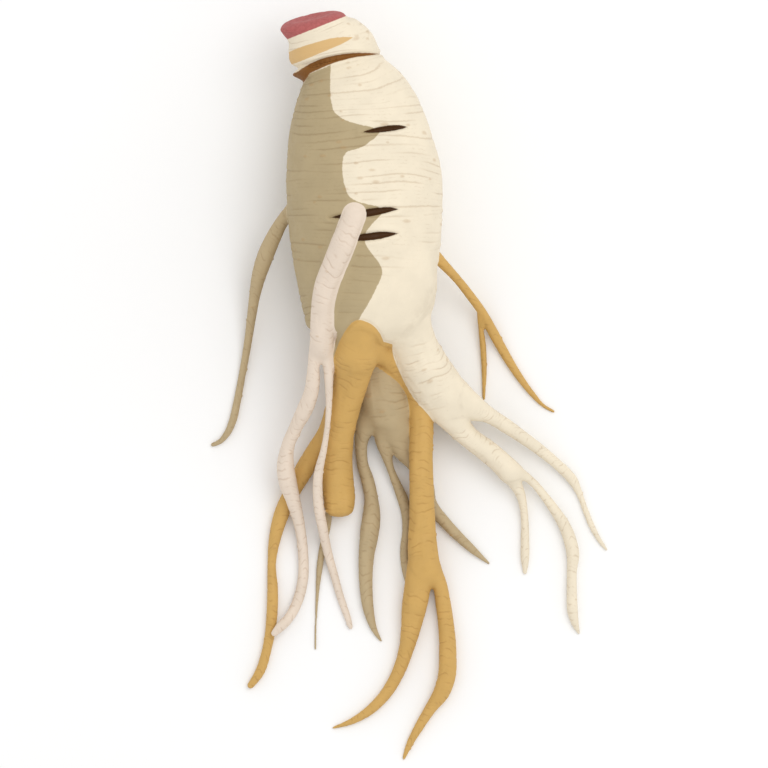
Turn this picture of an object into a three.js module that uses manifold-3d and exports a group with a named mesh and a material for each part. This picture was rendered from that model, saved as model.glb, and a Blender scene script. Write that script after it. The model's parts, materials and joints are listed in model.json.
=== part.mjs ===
// A fresh ginseng root, lifted and washed, lying down with its head towards +Y.
// Millimetres. The origin is the middle of the small flat it rests on, and +Z points up.
// It grew as one piece, so every root is joined to the trunk in one solid.

import * as THREE from 'three';
import { mergeVertices } from 'three/addons/utils/BufferGeometryUtils.js';
import Module from 'manifold-3d';

// Driving dimensions
const TRUNK_RADIUS = 19.5;
const TRUNK_DEPTH = 0.94;        // the trunk is a little thinner from front to back than it is wide
const RESTING_PRESS = 0.8;       // how deep the resting flat is cut into the trunk
const NECK_RADIUS = 10.4;        // at the groove between the trunk and the head
const HEAD_RADIUS = 8.4;         // at the scar of the cut stem
const REACH = 400;               // longer than the root, for the block that cuts the flat

const TRUNK_SIDES = 30;
const LEG_SIDES = 12;
const ROOTLET_SIDES = 8;
const MERGE_DISTANCE = 1e-4;

const TRUNK_HEIGHT = TRUNK_RADIUS * TRUNK_DEPTH - RESTING_PRESS;

// How far an end is rounded out past its last station, as a part of the radius there.
const ROUND_END = 1;
const SCAR_END = 0.2;
const STUMP_END = 0.6;
const BURIED_END = 0.4;

// Every ring of the trunk is [x, y, z, radius, lean]: its middle, half its width, and how many degrees
// its right side is turned towards the head.
const TRUNK = [
  [-13, 42.9, 22.6, HEAD_RADIUS, 12.5],
  [-10.9, 41.4, 21.8, 8.9, 17],
  [-9.85, 40.25, 21.2, 9.5, 16],
  [-9.05, 38.75, 20.6, 10.4, 15],
  [-8.35, 36.85, 20, 11, 13],
  [-7.6, 34.9, 19.4, 11.1, 11.5],
  [-6.4, 33.6, 19, NECK_RADIUS, 11.5],
  [-7, 32.6, 18.7, 11.4, 13],
  [-5.25, 31.1, 18.4, 10.5, 15.5],
  [-4.7, 30.25, 18.3, 11.2, 13.5],
  [-3.65, 28.5, 18, 12.5, 10],
  [-2.65, 24.85, 17.7, 14.5, 6.5],
  [-2, 20.25, TRUNK_HEIGHT, 16.3, 3.5],
  [-1.25, 14, TRUNK_HEIGHT, 18.05, 0],
  [-0.5, 7.5, TRUNK_HEIGHT, 19.2, 0],
  [0, 0, TRUNK_HEIGHT, TRUNK_RADIUS, 0],
  [0.15, -7.5, 17.3, 19.05, 0],
  [0.25, -15, 17, 18.25, 0],
  [0.25, -22.5, 16.6, 17.05, 0],
  [0.3, -29.5, 16.2, 15.6, 0],
  [-0.45, -33.4, 16.2, 13.65, 0],
  [-0.5, -36.4, 16.8, 9.3, 0],
  [-0.8, -38.4, 17.2, 4.6, 0],
];

// Every station of the other roots is [x, y, z, radius]: the middle of the root there, and how thick it is.

// The right leg carries on from the trunk and forks twice.
const RIGHT_LEG = [
  [6, -25, 17, 11.3],
  [8.65, -30.5, 16.6, 8.05],
  [12, -36.8, 15.4, 5.8],
  [14.5, -42.3, 13.4, 6.2],
  [17.3, -46.9, 11, 6.35],
  [20.55, -51.2, 8.6, 6.2],
];
const RIGHT_LEG_OUTER = [
  [23.1, -50.8, 10, 4.2],
  [27.5, -53.4, 8.8, 3.25],
  [30.3, -54.7, 7.8, 2.25],
  [36, -58.2, 5.9, 1.8],
  [43.75, -63.75, 3.5, 1.45],
  [48.25, -67.5, 2.2, 1.3],
  [51.9, -71.25, 1.4, 1.25],
  [53.75, -75, 0.9, 0.8],
  [56.6, -82.5, 0.7, 0.75],
  [58.6, -86.25, 0.55, 0.6],
  [60.35, -88.7, 0.4, 0.35],
];
const RIGHT_LEG_INNER = [
  [21, -55, 9.4, 3.6],
  [23.6, -58.1, 8.4, 3.1],
  [26, -60.6, 7.6, 2.7],
  [30, -63.6, 6.5, 2.8],
  [34.15, -67.1, 5.3, 2.9],
  [36.1, -69, 4.8, 3],
];
const RIGHT_LEG_INNER_SHORT = [
  [36.3, -70, 4.5, 2.4],
  [37.5, -72, 3.7, 1.75],
  [38.8, -74.7, 2.9, 1.3],
  [39.6, -78, 2, 1],
  [40, -82.5, 1.2, 1],
  [40, -86.75, 0.95, 1.1],
  [40, -91.25, 0.8, 1.05],
  [40, -94.4, 0.55, 0.5],
];
const RIGHT_LEG_INNER_LONG = [
  [38, -69.2, 4.6, 1.8],
  [40.6, -70.7, 3.9, 1.1],
  [42.4, -72.3, 3.4, 1.05],
  [45.1, -75.6, 2.7, 1.1],
  [47.5, -78.9, 2.2, 1.3],
  [49.75, -82.5, 1.7, 1.5],
  [52, -90, 1.55, 1.6],
  [51.75, -93.75, 1.3, 1.3],
  [51.7, -99.25, 1.35, 1.3],
  [52, -104.75, 1.15, 1.3],
  [52.9, -108.2, 0.7, 0.7],
  [53.5, -109.6, 0.4, 0.35],
];

// The stump is a short thick leg that ends blunt, with a long thin tail off its side.
const STUMP = [
  [-1.6, -35.2, 25, 4.5],
  [-2.2, -38.5, 22.2, 5.8],
  [-3.2, -44.25, 17.9, 4.85],
  [-5, -51.25, 13.3, 4.4],
  [-6.5, -58.25, 9.8, 4.15],
  [-6.95, -65, 7.2, 3.9],
  [-6.85, -71.25, 5.2, 4.1],
  [-6.45, -76.25, 4.2, 4],
  [-6.5, -78.3, 4, 3.75],
];
const STUMP_TAIL = [
  [-7.75, -53.75, 10.5, 2],
  [-10.5, -59.3, 7.3, 1.45],
  [-12.75, -63.85, 5.2, 2],
  [-15, -68.25, 3.4, 2.35],
  [-18, -73.75, 2.1, 2.05],
  [-20.75, -79.5, 1.8, 1.95],
  [-22.6, -86.25, 1.4, 1.5],
  [-23.3, -91.75, 1, 1.1],
  [-23.1, -98.75, 1.25, 1.4],
  [-23.25, -104.75, 1.25, 1.4],
  [-24.3, -112.5, 1.05, 1.2],
  [-26.7, -119.95, 1.05, 1.15],
  [-28.6, -122.6, 0.9, 0.85],
];
const STUMP_HAIR = [
  [-8, -75.75, 2.4, 1.25],
  [-9, -79.75, 1.2, 0.95],
  [-9.5, -83.25, 0.85, 0.9],
  [-10.5, -87.5, 0.8, 0.85],
  [-11.25, -92.5, 0.7, 0.8],
  [-11.85, -98.75, 0.5, 0.5],
  [-12.25, -105.75, 0.35, 0.35],
  [-12.4, -113.5, 0.3, 0.3],
];

// The middle leg comes out between the stump and the right leg.
const MIDDLE_LEG = [
  [0.5, -37.5, 20.6, 4.2],
  [4.6, -40.1, 16, 3.25],
  [8.6, -43.1, 12.2, 3.2],
  [10.6, -44.9, 10.8, 3.15],
  [12.7, -47.8, 9.8, 3.1],
  [13.8, -51.3, 9.2, 3.05],
  [14.2, -56, 8.9, 2.9],
  [14, -63.75, 8.5, 3],
  [14.1, -72.5, 7.6, 3.05],
  [14.3, -81.25, 6.4, 3.3],
  [14.4, -88.75, 5.2, 3.8],
  [14.85, -93.25, 4.4, 3.95],
];
const MIDDLE_LEG_LEFT = [
  [13.8, -93.25, 4.2, 3.4],
  [12.3, -103.25, 2.9, 3.15],
  [11.4, -108.75, 2.3, 2.45],
  [10.25, -113.75, 1.8, 1.9],
  [8, -120, 1.45, 1.6],
  [5.1, -124.8, 1.3, 1.45],
  [0.8, -129.1, 1.05, 1.2],
  [-3.8, -131.8, 0.75, 0.75],
  [-7.9, -133.2, 0.4, 0.35],
];
const MIDDLE_LEG_RIGHT = [
  [16.5, -93.65, 4, 2.7],
  [18.6, -97.5, 3, 1.95],
  [19.6, -102.75, 1.9, 1.95],
  [20.4, -108.75, 2, 2.05],
  [20.7, -115, 2.1, 2.2],
  [20.4, -120.5, 2.1, 2.25],
  [19.15, -124.3, 1.95, 2.1],
  [16.45, -128.25, 1.4, 1.45],
  [13.8, -132.5, 1.05, 1.2],
  [10.9, -137.75, 0.7, 0.8],
  [9.7, -140.8, 0.4, 0.4],
];

// The back leg lies lowest, behind the others, and splits into three.
const BACK_LEG = [
  [2.25, -37.5, 9, 7],
  [3.6, -43.75, 8, 6.8],
  [4.5, -49.5, 7, 6.6],
  [5.5, -53.2, 6.4, 6.1],
];
const BACK_LEG_LEFT = [
  [0.6, -55.6, 5.4, 3.2],
  [-0.25, -58.6, 4.6, 2.5],
  [-0.9, -61.6, 3.7, 1.7],
  [-0.95, -64.3, 2.9, 1.5],
  [-0.6, -67.3, 2.1, 1.45],
  [0.6, -71.2, 1.6, 1.65],
  [1.5, -75.5, 1.65, 1.7],
  [1.6, -80.5, 2.1, 2.3],
  [1.1, -84.5, 2.1, 2.4],
  [0.35, -90.25, 1.8, 2],
  [0.25, -97.5, 1.5, 1.7],
  [1, -104.25, 1.15, 1.3],
  [2.5, -109, 0.65, 0.7],
  [4, -111.5, 0.35, 0.35],
];
const BACK_LEG_MIDDLE = [
  [4.9, -57, 5.2, 3.1],
  [4.95, -61.8, 4.3, 2.35],
  [5.5, -65.3, 3.4, 1.4],
  [6.1, -67.6, 2.8, 1],
  [7.5, -71.3, 2, 1.05],
  [9.35, -75.8, 1.3, 1.4],
  [10.4, -79.5, 1.25, 1.4],
  [10.5, -83.75, 1.1, 1.2],
  [9.9, -89.25, 1.1, 1.15],
  [10.4, -93.5, 1.05, 1.25],
  [11, -97, 0.9, 0.95],
];
const BACK_LEG_RIGHT = [
  [8.3, -58, 5.2, 4.1],
  [9.85, -63.15, 3.9, 3.25],
  [13, -67.6, 2.6, 2.25],
  [15.2, -72.8, 2, 2.05],
  [16.1, -77, 1.85, 1.85],
  [19.6, -81.4, 1.5, 1.45],
  [23.05, -85.05, 1.3, 1.25],
  [26.8, -88.55, 0.95, 1],
  [30.95, -92.1, 0.4, 0.35],
];

// The front arm grows from the side of the trunk that faces up, and drapes over the trunk and the legs.
const FRONT_ARM = [
  [-2.5, -4.7, 34.8, 2.85],
  [-3.9, -8, 35, 2.85],
  [-5.5, -12.2, 34.2, 3],
  [-7.65, -17.3, 32.6, 3],
  [-9.5, -22.3, 30.4, 3],
  [-10.4, -26.6, 28.6, 2.95],
  [-10.6, -32.9, 26, 3.15],
  [-10.8, -37.8, 24, 3.05],
];
const FRONT_ARM_LEFT = [
  [-12, -38.75, 23.3, 2.1],
  [-12.8, -42.25, 21.6, 1.55],
  [-13, -46.25, 19.6, 1.8],
  [-13.5, -49.5, 17.8, 1.9],
  [-14.9, -53.3, 15.6, 2.05],
  [-17.25, -58, 12.7, 1.75],
  [-19.4, -63.25, 10, 1.75],
  [-19.9, -67.25, 8.3, 2.15],
  [-19.4, -71.5, 7, 2.35],
  [-18, -76.25, 5.6, 1.9],
  [-16.4, -82.5, 3.4, 1.4],
  [-15.5, -89.25, 1.7, 1.3],
  [-15.55, -96.25, 1.25, 1.35],
  [-16.75, -101.25, 1.4, 1.35],
  [-18.8, -105.4, 2.3, 1.3],
  [-21.65, -108.5, 3.4, 1.15],
  [-22.65, -109.55, 3.6, 0.85],
];
const FRONT_ARM_RIGHT = [
  [-9.9, -38.75, 23.2, 2.1],
  [-9.2, -42, 21.9, 1.55],
  [-9.05, -46.25, 20.6, 1.15],
  [-9, -49.25, 19.4, 1],
  [-9.25, -56.25, 16.3, 0.75],
  [-10.2, -63.25, 13.3, 0.85],
  [-11.8, -70, 10.3, 1.2],
  [-11.75, -76.25, 7.9, 1.3],
  [-10.75, -82.5, 5, 1.3],
  [-9.4, -89, 2.6, 1.15],
  [-7.8, -94.75, 1.3, 1.05],
  [-5.9, -101.25, 0.85, 0.95],
  [-4.3, -105.75, 0.75, 0.8],
  [-3.6, -108, 0.6, 0.6],
];

// Thin arms off the two sides of the trunk, drooping to the surface.
const LEFT_ARM = [
  [-17.2, -2.25, 16, 1.7],
  [-20.3, -6, 14.6, 1.6],
  [-23.2, -11.25, 12.6, 2],
  [-25, -15.5, 10.9, 2.1],
  [-26.4, -19.75, 8.9, 1.9],
  [-27.5, -24.75, 6.5, 1.45],
  [-28.4, -30.75, 4.3, 1.15],
  [-29.5, -38.25, 2.1, 1],
  [-30.75, -45.25, 1, 0.9],
  [-33.15, -56.7, 0.85, 0.95],
  [-34.6, -59.8, 0.8, 0.85],
  [-36.35, -61.7, 0.65, 0.65],
  [-38.1, -62.45, 0.55, 0.55],
];
const RIGHT_ARM = [
  [16.25, -13.7, 13.5, 1.6],
  [19.3, -17, 11.8, 1.3],
  [23, -21, 9.3, 1.1],
  [26.1, -24.9, 6.7, 1.15],
  [29.3, -29.4, 4, 1.2],
  [31.7, -33.75, 2.4, 1.3],
  [34.7, -39.25, 1.2, 1.2],
  [38.25, -45, 0.9, 0.95],
  [41.7, -49.6, 0.7, 0.7],
  [44.65, -52.7, 0.45, 0.45],
  [47.1, -54.1, 0.4, 0.4],
];
const RIGHT_ARM_TWIG = [
  [28.15, -28.5, 4.6, 1],
  [28.8, -31.75, 3.2, 0.75],
  [29.5, -37.5, 1.5, 0.8],
  [29.8, -43.75, 0.75, 0.7],
  [29.75, -48.25, 0.5, 0.5],
  [29.7, -51, 0.35, 0.35],
];

const LEGS = [RIGHT_LEG, MIDDLE_LEG, BACK_LEG];
const ROOTLETS = [
  RIGHT_LEG_OUTER, RIGHT_LEG_INNER, RIGHT_LEG_INNER_SHORT, RIGHT_LEG_INNER_LONG,
  STUMP_TAIL, STUMP_HAIR, MIDDLE_LEG_LEFT, MIDDLE_LEG_RIGHT,
  BACK_LEG_LEFT, BACK_LEG_MIDDLE, BACK_LEG_RIGHT,
  FRONT_ARM, FRONT_ARM_LEFT, FRONT_ARM_RIGHT,
  LEFT_ARM, RIGHT_ARM, RIGHT_ARM_TWIG,
];

const UP = new THREE.Vector3(0, 0, 1);
const LEFT = new THREE.Vector3(-1, 0, 0);

// The rings of a root: one at every station, with a rounded cap at both ends. Each says how far along
// the path it is, how wide it is and how far it stands out past the end, both as parts of the radius.
function rings(stationCount, startCap, endCap) {
  const shoulder = Math.SQRT1_2;
  const list = [
    { along: 0, width: 0, past: -startCap },
    { along: 0, width: shoulder, past: -startCap * shoulder },
  ];
  for (let station = 0; station < stationCount; station++) {
    list.push({ along: station / (stationCount - 1), width: 1, past: 0 });
  }
  list.push({ along: 1, width: shoulder, past: endCap * shoulder });
  list.push({ along: 1, width: 0, past: endCap });
  return list;
}

// The two directions a ring lies in and the one it faces along. A ring with a lean of its own stands
// upright and is turned by that much, and any other lies square to the path.
function ringDirections(tangent, lean) {
  if (lean === undefined) {
    const side = tangent.clone().cross(UP).normalize();
    return { side, rise: side.clone().cross(tangent), axis: tangent };
  }
  const side = LEFT.clone().applyAxisAngle(UP, THREE.MathUtils.degToRad(lean));
  return { side, rise: UP, axis: UP.clone().cross(side) };
}

// A straight lathe turning with one ring per station, bent along the smooth path through the stations.
function rootGeometry(stations, { sides, depth = 1, startCap = ROUND_END, endCap = ROUND_END }) {
  const middles = stations.map(([x, y, z]) => new THREE.Vector3(x, y, z));
  const path = new THREE.CatmullRomCurve3(middles, false, 'centripetal');
  const rows = rings(stations.length, startCap, endCap);
  const profile = rows.map((row, index) => new THREE.Vector2(row.width, index));
  const geometry = new THREE.LatheGeometry(profile, sides);
  const position = geometry.attributes.position;
  for (let i = 0; i < position.count; i++) {
    const row = rows[Math.round(position.getY(i))];
    const [, , , radius, lean] = stations[Math.round(row.along * (stations.length - 1))];
    const { side, rise, axis } = ringDirections(path.getTangent(row.along), lean);
    const point = path.getPoint(row.along)
      .addScaledVector(axis, row.past * radius)
      .addScaledVector(side, position.getX(i) * radius)
      .addScaledVector(rise, position.getZ(i) * radius * depth);
    position.setXYZ(i, point.x, point.y, point.z);
  }
  return geometry;
}

const wasm = await Module();
wasm.setup();

// Merges the shared corners of a closed geometry and drops the flat triangles at its poles.
function solidFrom(geometry) {
  const bare = geometry.clone();
  bare.deleteAttribute('normal');
  bare.deleteAttribute('uv');
  const merged = mergeVertices(bare, MERGE_DISTANCE);
  const corners = merged.index.array;
  const kept = [];
  for (let i = 0; i < corners.length; i += 3) {
    const [a, b, c] = [corners[i], corners[i + 1], corners[i + 2]];
    if (a !== b && b !== c && c !== a) {
      kept.push(a, b, c);
    }
  }
  return new wasm.Manifold(new wasm.Mesh({
    numProp: 3,
    vertProperties: new Float32Array(merged.attributes.position.array),
    triVerts: new Uint32Array(kept),
  }));
}

function geometryFrom(solid) {
  const mesh = solid.getMesh();
  const geometry = new THREE.BufferGeometry();
  geometry.setAttribute('position', new THREE.BufferAttribute(mesh.vertProperties, 3));
  geometry.setIndex(new THREE.BufferAttribute(mesh.triVerts, 1));
  geometry.computeVertexNormals();
  return geometry;
}

function rootSolid() {
  const trunkForm = { sides: TRUNK_SIDES, depth: TRUNK_DEPTH, startCap: SCAR_END, endCap: BURIED_END };
  let solid = solidFrom(rootGeometry(TRUNK, trunkForm));
  solid = solid.add(solidFrom(rootGeometry(STUMP, { sides: LEG_SIDES, endCap: STUMP_END })));
  for (const stations of LEGS) {
    solid = solid.add(solidFrom(rootGeometry(stations, { sides: LEG_SIDES })));
  }
  for (const stations of ROOTLETS) {
    solid = solid.add(solidFrom(rootGeometry(stations, { sides: ROOTLET_SIDES })));
  }
  const below = new THREE.BoxGeometry(REACH, REACH, REACH);
  below.translate(0, 0, -REACH / 2);
  return solid.subtract(solidFrom(below));
}

const skin = new THREE.MeshStandardMaterial({ color: 0xf0e5ce, roughness: 0.7, metalness: 0 });
const root = new THREE.Mesh(geometryFrom(rootSolid()), skin);
root.name = 'ginseng_root';

const model = new THREE.Group();
model.add(root);

export default model;
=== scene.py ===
import json
import math
import random

import bmesh
import bpy
import numpy as np
from mathutils import Matrix, Vector, noise

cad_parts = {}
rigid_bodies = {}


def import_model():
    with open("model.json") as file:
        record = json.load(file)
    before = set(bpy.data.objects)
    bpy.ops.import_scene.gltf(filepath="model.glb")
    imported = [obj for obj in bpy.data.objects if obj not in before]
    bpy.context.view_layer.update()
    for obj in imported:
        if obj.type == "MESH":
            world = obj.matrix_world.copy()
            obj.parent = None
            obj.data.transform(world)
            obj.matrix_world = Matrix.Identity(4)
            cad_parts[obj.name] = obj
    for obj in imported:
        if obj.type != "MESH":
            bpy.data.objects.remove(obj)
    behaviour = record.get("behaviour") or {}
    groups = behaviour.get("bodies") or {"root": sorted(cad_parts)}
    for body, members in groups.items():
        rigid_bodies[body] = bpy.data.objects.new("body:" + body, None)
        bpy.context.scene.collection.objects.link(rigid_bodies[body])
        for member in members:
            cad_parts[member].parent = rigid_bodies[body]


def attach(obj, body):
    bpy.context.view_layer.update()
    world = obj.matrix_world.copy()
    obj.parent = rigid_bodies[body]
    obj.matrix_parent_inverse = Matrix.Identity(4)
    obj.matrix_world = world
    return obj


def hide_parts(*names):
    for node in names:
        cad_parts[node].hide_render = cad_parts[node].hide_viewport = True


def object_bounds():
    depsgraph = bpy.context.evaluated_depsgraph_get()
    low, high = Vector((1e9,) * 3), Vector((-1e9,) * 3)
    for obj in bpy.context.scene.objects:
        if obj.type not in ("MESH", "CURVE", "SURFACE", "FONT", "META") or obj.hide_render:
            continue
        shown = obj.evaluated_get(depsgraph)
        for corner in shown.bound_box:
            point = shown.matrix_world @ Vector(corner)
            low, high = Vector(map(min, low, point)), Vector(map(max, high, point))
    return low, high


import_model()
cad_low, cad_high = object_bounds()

# A fresh ginseng root, lying down and seen from straight above.
# The root is shaped in millimetres and turned into metres at the end.

MM = 0.001

# The camera stands high over the middle of the picture, with a long lens. The picture's width and middle are
# places on the root, and its level is the height at which they are measured.
PICTURE_WIDTH = 192.0
PICTURE_MIDDLE = np.array((4.75, -47.25))
PICTURE_LEVEL = 12.0
LENS = 1200.0
SENSOR = 36.0
CAMERA_AWAY = PICTURE_WIDTH * LENS / SENSOR
UP = np.array((0.0, 0.0, 1.0))

# How fine the skin is: the step between a root's rings, the cubes in which the roots are grown together, and
# the most triangles that are kept.
RING_STEP = 0.5
VOXEL = 0.3
MOST_TRIANGLES = 192000

# The rings, stations and outlines below give x and y as the camera sees them at the picture's level.

# The trunk, from the stem scar down to the fork. Each ring is (left x, left y, right x, right y,
# height of its middle, how far the ring leans back to face up, in degrees).
TRUNK_RINGS = [
    (-21.2, 41.15, -4.85, 44.75, 22.6, 9),
    (-20.6, 40.3, -4.2, 44.35, 22.3, 9),
    (-19.4, 38.8, -2.4, 44.0, 21.8, 8),
    (-19.0, 37.6, -0.7, 42.9, 21.2, 7),
    (-19.1, 36.1, 1.0, 41.4, 20.6, 6),
    (-19.1, 34.4, 2.4, 39.3, 20.0, 4),
    (-18.5, 32.7, 3.3, 37.1, 19.4, 0),
    (-16.6, 31.5, 3.8, 35.7, 19.0, -3),
    (-18.2, 30.05, 4.1, 35.1, 18.7, -6),
    (-16.9, 29.3, 4.5, 34.5, 18.55, -5.5),
    (-15.4, 28.3, 4.9, 33.9, 18.4, -5),
    (-15.6, 27.6, 6.2, 32.9, 18.3, -4),
    (-16.0, 26.3, 8.7, 30.7, 18.0, -2),
    (-17.1, 23.2, 11.8, 26.5, 17.7, 0),
    (-18.25, 19.2, 14.3, 21.3, 17.5, 0),
    (-19.3, 13.8, 16.8, 14.2, 17.5, 0),
    (-19.75, 7.5, 18.7, 7.5, 17.5, 0),
    (-19.6, 0.0, 19.35, 0.0, 17.5, 0),
    (-18.9, -7.5, 19.2, -7.5, 17.3, 0),
    (-18.0, -15.0, 18.5, -15.0, 17.0, 0),
    (-16.8, -22.5, 17.3, -22.5, 16.6, 0),
    (-15.3, -29.5, 15.9, -29.5, 16.2, 0),
    (-14.1, -33.4, 13.2, -33.4, 16.2, 0),
    (-9.8, -36.4, 8.8, -36.4, 16.8, 0),
    (-5.4, -38.4, 3.8, -38.4, 17.2, 0),
]
# The trunk is a little less deep than wide.
TRUNK_DEPTH = 0.94

# The callus over the cut stem: (share of the rim's radius, how far it stands out past the rim).
SCAR_STEPS = [
    (0.99, 0.4), (0.95, 0.85), (0.88, 1.25), (0.78, 1.55), (0.66, 1.65),
    (0.52, 1.45), (0.36, 1.15), (0.2, 1.0), (0.08, 0.95),
]

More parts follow.
